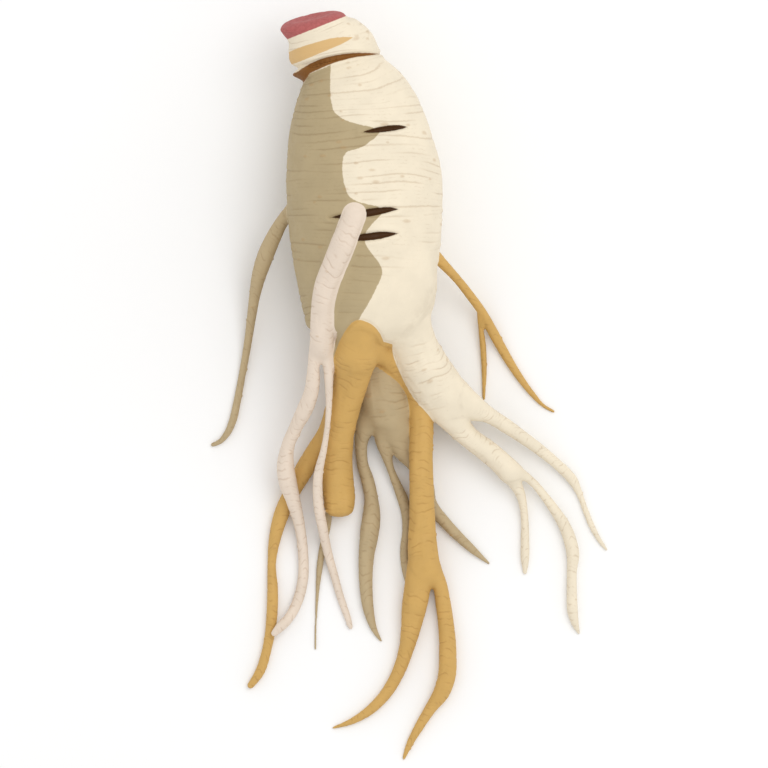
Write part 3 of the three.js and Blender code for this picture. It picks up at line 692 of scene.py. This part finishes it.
def shaded_side_edge(points):
    """The trunk's taupe side, painted shade on its left and under it: as drawn on top, and up to the
    wandering line below.
    """
    x, y, z = points.T
    line_x, line_y = np.array(UNDER_LINE[::-1], float).T
    under = np.minimum(np.interp(y, line_y, line_x) - x, -NECK_GAP - past_neck(points))
    top = inside(points, SHADED_SIDE_ZONE)
    above = ramp(z, *SHADED_SIDE_HEIGHTS)
    return top * above + np.clip(under, -EDGE_REACH, EDGE_REACH) * (1 - above)


def groove_edge(points):
    """The fold under the head, whose brown is painted shade: as drawn on top, and a thin even ring below."""
    top = inside(points, GROOVE)
    ring = GROOVE_HALF - np.abs(past_neck(points))
    above = ramp(points[:, 2], *GROOVE_SIDE)
    return top * above + np.clip(ring, -EDGE_REACH, EDGE_REACH) * (1 - above)


def shade_band_edge(points):
    """The tan band on the head, painted shade, which runs out to a point down the side."""
    return inside(points, SHADE_BAND) - BAND_TAPER * (1 - ramp(points[:, 2], *BAND_SIDE))


def crease_edge(points):
    """The dark cross creases, whose dark brown is painted shade, as the one that is closest."""
    edges = [inside(points, crease) for crease in CREASES]
    return np.where(points[:, 2] > CREASE_LOW, np.max(edges, axis=0), -EDGE_REACH)


# Fine folds run across the roots, a step apart. They wander and ripple by this much, and are this wide. They
# are this deep on a thin root, and deeper by so much on a thick one, whose radii are given last.
FOLD_STEP = 1.9
FOLD_WANDER = 2.2
FOLD_RIPPLE = 0.45
FOLD_WIDTH = 0.55
FOLD_DEPTH = 0.06
FOLD_DEEPER = 0.12
THIN_TO_THICK = (1.2, 9)
# The skin swells and has lumps and long furrows by these shares of the radius. The furrows come in and go
# out again as the radius grows through these ranges.
SWELL = 0.022
LUMP = 0.01
FURROW = 0.03
FURROWS_START = (1.0, 2.4)
FURROWS_END = (8, 13)
# Each fold and each root reads its own stretch of the noise, this far from the last one's.
FOLD_SHIFT = 3.7
ROOT_SHIFT = 7.3


def ring_lines(place, radius, seed):
    """Fine folds that run across a root: a number that passes a whole one at each fold, and how far the fold
    shows there, from 0 to 1."""
    across, over = place[:, 0] / radius, place[:, 1] / radius
    along = place[:, 2]
    wander = noise_at(across * 0.7, over * 0.7, along * 0.09)
    ripple = noise_at(across * 1.9, over * 1.9, along * 0.3)
    fold = (along + FOLD_WANDER * wander + FOLD_RIPPLE * ripple) / FOLD_STEP
    shown = noise_at(across * 1.1, over * 1.1, np.round(fold) * FOLD_SHIFT + seed)
    return fold, ramp(shown, -0.12, 0.3)


def wrinkles(place, radius, seed):
    """How far the skin is pushed in or out by swellings, cross folds and long furrows, in millimetres."""
    across, over = place[:, 0] / radius, place[:, 1] / radius
    along = place[:, 2]
    swell = noise_at(across * 0.9, over * 0.9, along / (radius * 1.3) + seed)
    lumps = noise_at(across * 2.2, over * 2.2, along / (radius * 0.55 + 0.6) + seed)
    push = radius * (SWELL * swell + LUMP * lumps)
    fold, shown = ring_lines(place, radius, seed)
    away = np.abs(fold - np.round(fold)) * FOLD_STEP
    depth = FOLD_DEPTH + FOLD_DEEPER * ramp(radius, *THIN_TO_THICK)
    push -= depth * shown * np.clip(1 - away / FOLD_WIDTH, 0, 1)
    # The furrows run down the legs, and not down the trunk or the thinnest rootlets.
    turn = np.arctan2(over, across)
    furrow = noise_at(np.cos(turn) * 2.2, np.sin(turn) * 2.2, along * 0.11 + seed)
    legs = ramp(radius, *FURROWS_START) * (1 - ramp(radius, *FURROWS_END))
    push -= legs * radius * FURROW * ramp(furrow, 0.05, 0.45)
    return push


# Warts are small bars across the trunk and the legs, where the skin breathes. Each has so much room, which
# is length times radius in square millimetres. A size is along the root, and a width is so many sizes.
WART_SEED = 11
WART_ROOM = 11
WART_SIZES = (0.35, 0.6)
WART_WIDTHS = (1.4, 2.8)
WART_HEIGHT = 0.22
# Their sizes are for a thick root. On the thinnest ones this share of them is left, and the share grows by
# one with each so many millimetres of radius, up to a whole one.
WART_LEAST = 0.45
WART_RADIUS = 12


def warts(growth):
    """How far each point is up a wart, from 0 to 1. They are smaller on thin roots."""
    rng = random.Random(WART_SEED)
    height = np.zeros(len(growth.points))
    place, radius = growth.local(growth.nearest)
    turn = np.arctan2(place[:, 1], place[:, 0])
    for index, root in enumerate(growth.roots):
        mine = np.flatnonzero(growth.nearest == index)
        mean_radius = float(root.radius.mean())
        for _ in range(int(root.along[-1] * mean_radius / WART_ROOM)):
            at = root.start + rng.uniform(0, root.along[-1])
            angle = rng.uniform(-math.pi, math.pi)
            size = rng.uniform(*WART_SIZES) * min(1.0, WART_LEAST + mean_radius / WART_RADIUS)
            width = size * rng.uniform(*WART_WIDTHS)
            across = (np.mod(turn[mine] - angle + math.pi, 2 * math.pi) - math.pi) * radius[mine]
            bar = np.exp(-((place[mine, 2] - at) / size) ** 2 - (across / width) ** 2)
            height[mine] = np.maximum(height[mine], bar)
    return height


# How the marks are cut into the skin: how deep, from where to where inside their edge the cut deepens, and
# how high, how far outside the edge and how wide the rim is.
CREASE_CUT = {"depth": 1.1, "start": -0.5, "full": 0.7, "rim": 0.22, "rim_away": 0.9, "rim_width": 0.55}
GROOVE_CUT = {"depth": 0.8, "start": -0.5, "full": 0.6, "rim": 0.15, "rim_away": 0.8, "rim_width": 0.5}
BAND_CUT = {"depth": 0.12, "start": -0.3, "full": 0.5, "rim": 0.06, "rim_away": 0.5, "rim_width": 0.4}
# The groove's cut fades out between these places on the left, where the rings pinch in by themselves.
LIP = (12, 15.5)
# Wrinkles are weaker by this share near a cut, and on the head, which starts between these places.
CALM = 0.7
CALM_NEAR = 0.8
CALM_HEAD = (24, 30)
# The cuts end where a root is as near as the trunk, over this difference between the two distances.
TRUNK_END = (-0.25, 0.25)
# In a fork the skin is only a little uneven.
FORK_UNEVEN = 0.1
# The golden patch over the fork stands up by a step, with a thin line along its edge.
GOLD_STEP = 0.45
GOLD_LINE = 0.3
GOLD_LINE_WIDTH = 0.4
# It fades out on the roots that leave the trunk, and down the sides between these heights.
GOLD_END = (-2.5, 0.5)
GOLD_SIDE = (14, 18)


def cut(edge, depth, start, full, rim, rim_away, rim_width):
    """How far a mark with this edge pushes the skin in, and its rim out."""
    return rim * np.exp(-((edge + rim_away) / rim_width) ** 2) - depth * ramp(edge, start, full)


def carve(mesh, roots):
    """Gives the fused skin its folds, wrinkles and warts, and cuts the marks into it."""
    points = read_vertices(mesh, "co")
    x, y, z = points.T
    growth = Growth(points, roots)
    trunk_place, trunk_radius = growth.local(np.zeros(len(points), int))
    root_place, root_radius = growth.local(growth.beside)
    push = growth.on_trunk * wrinkles(trunk_place, trunk_radius, 0)
    push += (1 - growth.on_trunk) * wrinkles(root_place, root_radius, growth.beside * ROOT_SHIFT)
    free = growth.free()
    push = free * push + FORK_UNEVEN * (1 - free) * noise_at(*(points * 0.4).T)
    push += WART_HEIGHT * free * warts(growth)
    crease = crease_edge(points)
    groove = groove_edge(points)
    shade_band = shade_band_edge(points)
    gold = inside(points, FORK_GOLD)
    calm = ramp(np.maximum(crease, groove), -CALM_NEAR, 0)
    push *= (1 - CALM * calm) * (1 - CALM * ramp(y, *CALM_HEAD))
    on_trunk = ramp(growth.trunk_margin, *TRUNK_END)
    push += on_trunk * cut(crease, **CREASE_CUT)
    push += on_trunk * cut(groove, **GROOVE_CUT) * (1 - ramp(-x, *LIP))
    push += on_trunk * cut(shade_band, **BAND_CUT)
    on_top = ramp(growth.trunk_margin, *GOLD_END) * ramp(z, *GOLD_SIDE)
    push += on_top * (GOLD_STEP * ramp(gold, 0, 1) - GOLD_LINE * np.exp(-(gold / GOLD_LINE_WIDTH) ** 2))
    push_out(mesh, push)


def store(mesh, name, values):
    """Keeps a number for each vertex, which the finish reads by its name."""
    attribute = mesh.attributes.new(name, "FLOAT", "POINT")
    attribute.data.foreach_set("value", values.astype(np.float32))


# The colours of the roots, from the lowest layer to the top one.
LAYERS = ("cream", "taupe", "golden", "pink")
# A root takes on its own colour where it is nearer than a cream or taupe one by this much, and the trunk's
# marks end where a root is nearer than the trunk by as much.
JOINT_LIFT = 0.2
# The drawn outline of the fork's gold holds between these places along the root, and above a lowest height.
# That height goes up a slope on the left, where the stump stands high.
FORK_START = (-51, -48)
FORK_END = (-28, -26)
FORK_LOW = 10
FORK_SLOPE = 0.72
FORK_SLOPE_Y = -38.5
FORK_SLOPE_Z = 18


def drawn_share(points, on_fork):
    """How far the fork's drawn outline holds, from 0 to 1."""
    x, y, z = points.T
    slope = FORK_SLOPE_Z + FORK_SLOPE * (y - FORK_SLOPE_Y)
    lowest = np.where(x < 0, np.maximum(slope, FORK_LOW), FORK_LOW)
    share = ramp(on_fork, -0.3, 0.3) * ramp(z - lowest, 0, 2)
    return share * ramp(y, *FORK_START) * (1 - ramp(y, *FORK_END))


def mark(mesh, roots):
    """Stores on the mesh what the skin's colours follow."""
    points = read_vertices(mesh, "co")
    growth = Growth(points, roots)
    names = [root.name for root in roots]
    # Each colour is laid over the ones before it, so its edge is measured against those alone.
    of_colour = [[index for index, root in enumerate(roots) if root.colour == colour] for colour in LAYERS]
    edge = {colour: growth.margin(of_colour[level], sum(of_colour[:level], []), JOINT_LIFT)
            for level, colour in enumerate(LAYERS) if level}
    fork = [names.index(name) for name in ("trunk", "right_leg", "stump", "middle_leg")]
    beyond = [index for index, root in enumerate(roots) if index not in fork and root.colour != "pink"]
    on_fork = growth.margin(fork, beyond, -JOINT_LIFT)
    drawn = drawn_share(points, on_fork)
    edge["golden"] = edge["golden"] * (1 - drawn) + inside(points, FORK_GOLD) * drawn
    for colour, values in edge.items():
        store(mesh, colour + "_root_edge", values)
    marks = {"crease_edge": crease_edge, "groove_edge": groove_edge, "shade_band_edge": shade_band_edge}
    for name, edge_of in marks.items():
        store(mesh, name, np.minimum(edge_of(points), growth.trunk_margin + JOINT_LIFT))
    # The trunk's taupe side is painted shade, kept off the fork.
    store(mesh, "shaded_side_edge", np.minimum(shaded_side_edge(points), on_fork))
    store(mesh, "scar_edge", inside(points, SCAR))
    for name, owner in (("trunk", np.zeros(len(points), int)), ("root", growth.beside)):
        fold, shown = ring_lines(*growth.local(owner), owner * ROOT_SHIFT)
        store(mesh, name + "_fold", fold)
        store(mesh, name + "_fold_shown", shown)
    free = growth.free()
    store(mesh, "on_trunk", growth.on_trunk)
    store(mesh, "free", free)
    # How deep a point lies in a fork, where soil with painted shade darkens the skin.
    store(mesh, "joining", growth.angle_fill(FORK_SOIL_AND_SHADE_SPREAD)[0])
    store(mesh, "wart", warts(growth) * free)


def fill_forks(mesh, roots):
    """Rounds out the angles where roots join."""
    growth = Growth(read_vertices(mesh, "co"), roots)
    side_depth, side_fill = growth.angle_fill()
    top_depth, top_fill = growth.angle_fill(TOP_SPREAD)
    up = ramp(read_vertices(mesh, "normal")[:, 2], *SIDE_TO_TOP)
    push_out(mesh, side_fill * (1 - up) + top_fill * up)
    soften(mesh, np.flatnonzero(side_depth > FORK_EDGE), FORK_PASSES)
    soften(mesh, np.flatnonzero(top_depth * up > FORK_EDGE), TOP_PASSES, heights_only=True)


def grow():
    """The whole root's skin, in metres, with all that its finish reads."""
    roots = all_roots()
    mesh = fused_skin(roots)
    fill_forks(mesh, roots)
    soften(mesh, range(len(mesh.vertices)), SKIN_PASSES)
    soften(mesh, np.flatnonzero(read_vertices(mesh, "co")[:, 1] > HEAD_START), HEAD_PASSES)
    carve(mesh, roots)
    mesh.calc_loop_triangles()
    share = MOST_TRIANGLES / len(mesh.loop_triangles)
    if share < 1:
        mesh = modified(mesh, "DECIMATE", ratio=share)
    mark(mesh, roots)
    mesh.transform(Matrix.Scale(MM, 4))
    mesh.polygons.foreach_set("use_smooth", [True] * len(mesh.polygons))
    mesh.name = "ginseng_root_skin"
    skin = bpy.data.objects.new("ginseng_root_skin", mesh)
    bpy.context.scene.collection.objects.link(skin)
    return skin


# Finishes

def srgb(red, green, blue):
    """A colour from 0 to 255 as Blender's linear one."""
    def linear(value):
        value /= 255
        return value / 12.92 if value <= 0.04045 else ((value + 0.055) / 1.055) ** 2.4
    return (linear(red), linear(green), linear(blue), 1.0)


class Finish:
    """A material's node tree, with a short call for each kind of node."""

    def __init__(self, name):
        self.material = bpy.data.materials.new(name)
        self.material.use_nodes = True
        self.tree = self.material.node_tree
        self.shader = self.tree.nodes["Principled BSDF"]

    def node(self, kind, **settings):
        """A new node of a kind."""
        made = self.tree.nodes.new(kind)
        for name, value in settings.items():
            setattr(made, name, value)
        return made

    def plug(self, value, socket):
        """Gives a socket a number or colour, or what comes out of another node."""
        if isinstance(value, bpy.types.NodeSocket):
            self.tree.links.new(value, socket)
        else:
            socket.default_value = value

    def attribute(self, name):
        return self.node("ShaderNodeAttribute", attribute_name=name).outputs["Fac"]

    def noise(self, vector, scale, detail=3.0, roughness=0.55):
        made = self.node("ShaderNodeTexNoise")
        self.plug(vector, made.inputs["Vector"])
        made.inputs["Scale"].default_value = scale
        made.inputs["Detail"].default_value = detail
        made.inputs["Roughness"].default_value = roughness
        return made.outputs["Fac"]

    def math(self, operation, first, second):
        made = self.node("ShaderNodeMath", operation=operation)
        self.plug(first, made.inputs[0])
        self.plug(second, made.inputs[1])
        return made.outputs[0]

    def stretch(self, vector, scale):
        made = self.node("ShaderNodeMapping")
        self.plug(vector, made.inputs["Vector"])
        made.inputs["Scale"].default_value = scale
        return made.outputs[0]

    def ramp(self, value, low, high, start=0.0, end=1.0):
        made = self.node("ShaderNodeMapRange", interpolation_type="SMOOTHSTEP")
        self.plug(value, made.inputs["Value"])
        made.inputs["From Min"].default_value = low
        made.inputs["From Max"].default_value = high
        made.inputs["To Min"].default_value = start
        made.inputs["To Max"].default_value = end
        return made.outputs["Result"]

    def mix(self, share, first, second, blend="MIX"):
        """A colour that goes from first to second. The node's colour sockets come after its number ones."""
        made = self.node("ShaderNodeMix", data_type="RGBA", blend_type=blend)
        self.plug(share, made.inputs[0])
        self.plug(first, made.inputs[6])
        self.plug(second, made.inputs[7])
        return made.outputs[2]

    def between(self, share, first, second):
        """A number that goes from first to second as the share goes from 0 to 1."""
        made = self.node("ShaderNodeMix", data_type="FLOAT")
        self.plug(share, made.inputs[0])
        self.plug(first, made.inputs[2])
        self.plug(second, made.inputs[3])
        return made.outputs[0]

    def bump(self, height, strength, distance, normal=None):
        made = self.node("ShaderNodeBump")
        made.inputs["Strength"].default_value = strength
        made.inputs["Distance"].default_value = distance
        self.plug(height, made.inputs["Height"])
        if normal is not None:
            self.plug(normal, made.inputs["Normal"])
        return made.outputs["Normal"]


# The drawing's flat colours come first, and the faint ones that are laid over them last.
CREAM = srgb(233, 221, 198)
# This taupe is painted shade on the trunk's left side and under it.
SHADED_SIDE_TAUPE = srgb(178, 160, 124)
BACK_TAUPE = srgb(184, 164, 128)
GOLDEN = srgb(203, 163, 94)
PINK = srgb(226, 210, 193)
SCAR_RED = srgb(180, 97, 95)
SCAR_DARK = srgb(136, 68, 64)
# This tan is painted shade on the head.
SHADE_BAND_TAN = srgb(214, 177, 121)
# This brown is painted shade in the fold under the head.
GROOVE_SHADE_BROWN = srgb(130, 83, 30)
# This dark brown is painted shade in the creases.
CREASE_SHADE_BROWN = srgb(67, 37, 0)
WRINKLE_TINT = srgb(176, 138, 90)
WART_TAN = srgb(176, 136, 86)
# This brown is soil in the specks, and soil with painted shade in the forks.
SOIL_AND_FORK_SHADE = srgb(112, 80, 46)


# The coloured zones, each laid over those before it, and then the marks: the edge, how far it wavers and how
# soft it is, in millimetres, and the colour.
ZONES = [
    # The first zone is the trunk's painted shade.
    ("shaded_side_edge", 0.5, 0.13, SHADED_SIDE_TAUPE),
    ("taupe_root_edge", 0.2, 0.12, BACK_TAUPE),
    ("golden_root_edge", 0.2, 0.12, GOLDEN),
    ("pink_root_edge", 0.1, 0.1, PINK),
]
MARKS = [
    # The band's tan is painted shade.
    ("shade_band_edge", 0.25, 0.12, SHADE_BAND_TAN),
    # The fold's brown is painted shade.
    ("groove_edge", 0.25, 0.14, GROOVE_SHADE_BROWN),
    # The creases' dark brown is painted shade.
    ("crease_edge", 0.25, 0.12, CREASE_SHADE_BROWN),
]
# How strongly each faint colour shows.
WRINKLE_SHARE = 0.25
FINE_SHARE = 0.5
WART_SHARE = 0.3
FORK_SOIL_AND_SHADE_SHARE = 0.1
SPECK_SHARE = 0.18
SCAR_SHARE = 0.4
# Bumps too fine for the mesh, in metres.
FOLD_BUMP = 0.00012
PORE_BUMP = 0.0001
SKIN_GLOSS = 0.3


def root_skin_finish():
    """Root skin in its coloured zones, some of them painted shade, with fine cross wrinkles, pores, soil
    specks and a little soil with painted shade in the folds where roots join.
    """
    skin = Finish("root_skin")
    place = skin.stretch(skin.node("ShaderNodeTexCoord").outputs["Object"], (1 / MM, 1 / MM, 1 / MM))
    on_trunk = skin.attribute("on_trunk")
    waver = skin.math("SUBTRACT", skin.noise(place, scale=1.1, detail=4.0), 0.5)

    def within(edge, wander, soft):
        """1 inside an edge and 0 outside it."""
        moved = skin.math("ADD", skin.attribute(edge), skin.math("MULTIPLY", waver, wander))
        return skin.ramp(moved, -soft, soft)

    def fold_lines(times, width):
        """Thin lines across the root: one in each fold, or that many times as close."""
        lines = []
        for grain in ("root_fold", "trunk_fold"):
            fold = skin.math("ADD", skin.attribute(grain), skin.math("MULTIPLY", waver, 0.25 * times))
            away = skin.math("PINGPONG", skin.math("MULTIPLY", fold, times), 0.5)
            line = skin.ramp(away, 0.0, width * times / FOLD_STEP, start=1.0, end=0.0)
            shown = skin.attribute(grain + "_shown")
            lines.append(skin.math("MULTIPLY", line, shown) if times == 1 else line)
        return skin.between(on_trunk, *lines)

    def lay(colour, pattern, strength, tint, blend="MIX"):
        """The colour with a faint tint over it, where the pattern is."""
        return skin.mix(skin.math("MULTIPLY", pattern, strength), colour, tint, blend)

    colour = CREAM
    for edge, wander, soft, tint in ZONES:
        colour = skin.mix(within(edge, wander, soft), colour, tint)

    clouds = skin.ramp(skin.noise(place, scale=0.16), 0.3, 0.7, start=0.965, end=1.03)
    colour = skin.mix(1.0, colour, clouds, "MULTIPLY")
    patches = skin.ramp(skin.noise(place, scale=0.3, detail=2.0), 0.38, 0.62)
    breaks = skin.ramp(skin.noise(place, scale=0.85, detail=2.0), 0.45, 0.6)
    broken = skin.math("MULTIPLY", patches, breaks)
    fine = skin.math("MULTIPLY", fold_lines(times=2, width=0.2), broken)
    coarse = fold_lines(times=1, width=0.3)
    lines = skin.math("MAXIMUM", coarse, skin.math("MULTIPLY", fine, FINE_SHARE))
    lines = skin.math("MULTIPLY", lines, skin.attribute("free"))
    colour = lay(colour, lines, WRINKLE_SHARE, WRINKLE_TINT, "MULTIPLY")
    colour = lay(colour, skin.ramp(skin.attribute("wart"), 0.25, 0.9), WART_SHARE, WART_TAN)
    # Soil with painted shade darkens the forks in patches.
    fork_soil_and_shade = skin.math("MULTIPLY", skin.ramp(skin.attribute("joining"), 0.7, 1.0), FORK_SOIL_AND_SHADE_SHARE)
    colour = lay(colour, fork_soil_and_shade, patches, SOIL_AND_FORK_SHADE)
    specks = skin.ramp(skin.noise(place, scale=2.2, detail=2.0), 0.7, 0.78)
    colour = lay(colour, specks, SPECK_SHARE, SOIL_AND_FORK_SHADE)

    for edge, wander, soft, tint in MARKS:
        colour = skin.mix(within(edge, wander, soft), colour, tint)
    fibres = skin.ramp(skin.noise(place, scale=1.6, detail=4.0, roughness=0.6), 0.35, 0.7)
    scar_colour = lay(SCAR_RED, fibres, SCAR_SHARE, SCAR_DARK)
    colour = skin.mix(within("scar_edge", 0.25, 0.12), colour, scar_colour)
    skin.plug(colour, skin.shader.inputs["Base Color"])

    pores = skin.noise(place, scale=3.0, roughness=0.6)
    folds = skin.bump(skin.math("SUBTRACT", 1.0, lines), strength=0.5, distance=FOLD_BUMP)
    skin.plug(skin.bump(pores, strength=0.3, distance=PORE_BUMP, normal=folds), skin.shader.inputs["Normal"])
    rough = skin.ramp(skin.noise(place, scale=0.5), 0.3, 0.7, start=0.58, end=0.74)
    skin.plug(rough, skin.shader.inputs["Roughness"])
    skin.shader.inputs["Specular IOR Level"].default_value = SKIN_GLOSS
    return skin.material


FLOOR_PALE = (0.93, 0.93, 0.93, 1)
FLOOR_PALER = (0.945, 0.945, 0.945, 1)


def floor_finish():
    """A pale matt floor, very slightly cloudy."""
    pale = Finish("pale_floor")
    place = pale.node("ShaderNodeTexCoord").outputs["Object"]
    cloud = pale.ramp(pale.noise(place, scale=6.0, detail=2.0), 0.3, 0.7)
    pale.plug(pale.mix(cloud, FLOOR_PALE, FLOOR_PALER), pale.shader.inputs["Base Color"])
    pale.shader.inputs["Roughness"].default_value = 0.9
    pale.shader.inputs["Specular IOR Level"].default_value = 0.0
    return pale.material


# The set

# One large round lamp, with the brightness of the white all around. Places and sizes are in metres.
LAMP_PLACE = (0.4, 0.3, 1.15)
LAMP_SIZE = 1.0
LAMP_POWER = 4.8
LAMP_COLOUR = (1.0, 0.99, 0.97)
SKY_STRENGTH = 0.86
FLOOR_HALF = 2.5


def camera():
    """A camera straight above the picture's middle, with the head towards the top of its view."""
    data = bpy.data.cameras.new("camera")
    data.lens = LENS
    data.sensor_width = SENSOR
    data.clip_end = 3 * CAMERA_AWAY * MM
    seen = bpy.data.objects.new("camera", data)
    seen.location = (*PICTURE_MIDDLE * MM, (CAMERA_AWAY + PICTURE_LEVEL) * MM)
    bpy.context.scene.collection.objects.link(seen)
    bpy.context.scene.camera = seen


def light():
    """A white world, and one lamp that points at the root."""
    world = bpy.data.worlds.new("studio")
    world.use_nodes = True
    sky = world.node_tree.nodes["Background"]
    sky.inputs["Color"].default_value = (1, 1, 1, 1)
    sky.inputs["Strength"].default_value = SKY_STRENGTH
    bpy.context.scene.world = world
    data = bpy.data.lights.new("key", "AREA")
    data.shape = "DISK"
    data.size = LAMP_SIZE
    data.energy = LAMP_POWER
    data.color = LAMP_COLOUR
    lamp = bpy.data.objects.new("key", data)
    lamp.location = LAMP_PLACE
    root_middle = (cad_low + cad_high) / 2
    lamp.rotation_euler = (Vector(LAMP_PLACE) - root_middle).to_track_quat("Z", "Y").to_euler()
    lamp.visible_camera = False
    bpy.context.scene.collection.objects.link(lamp)


def floor():
    """A level floor at the height of the surface that the root lies on."""
    bm = bmesh.new()
    bmesh.ops.create_grid(bm, x_segments=1, y_segments=1, size=FLOOR_HALF)
    mesh = bpy.data.meshes.new("floor")
    bm.to_mesh(mesh)
    bm.free()
    mesh.materials.append(floor_finish())
    ground = bpy.data.objects.new("floor", mesh)
    bpy.context.scene.collection.objects.link(ground)


camera()
light()
floor()

skin = grow()
skin.data.materials.append(root_skin_finish())
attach(skin, "root")
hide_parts("ginseng_root")

bpy.context.scene.view_settings.view_transform = "Standard"
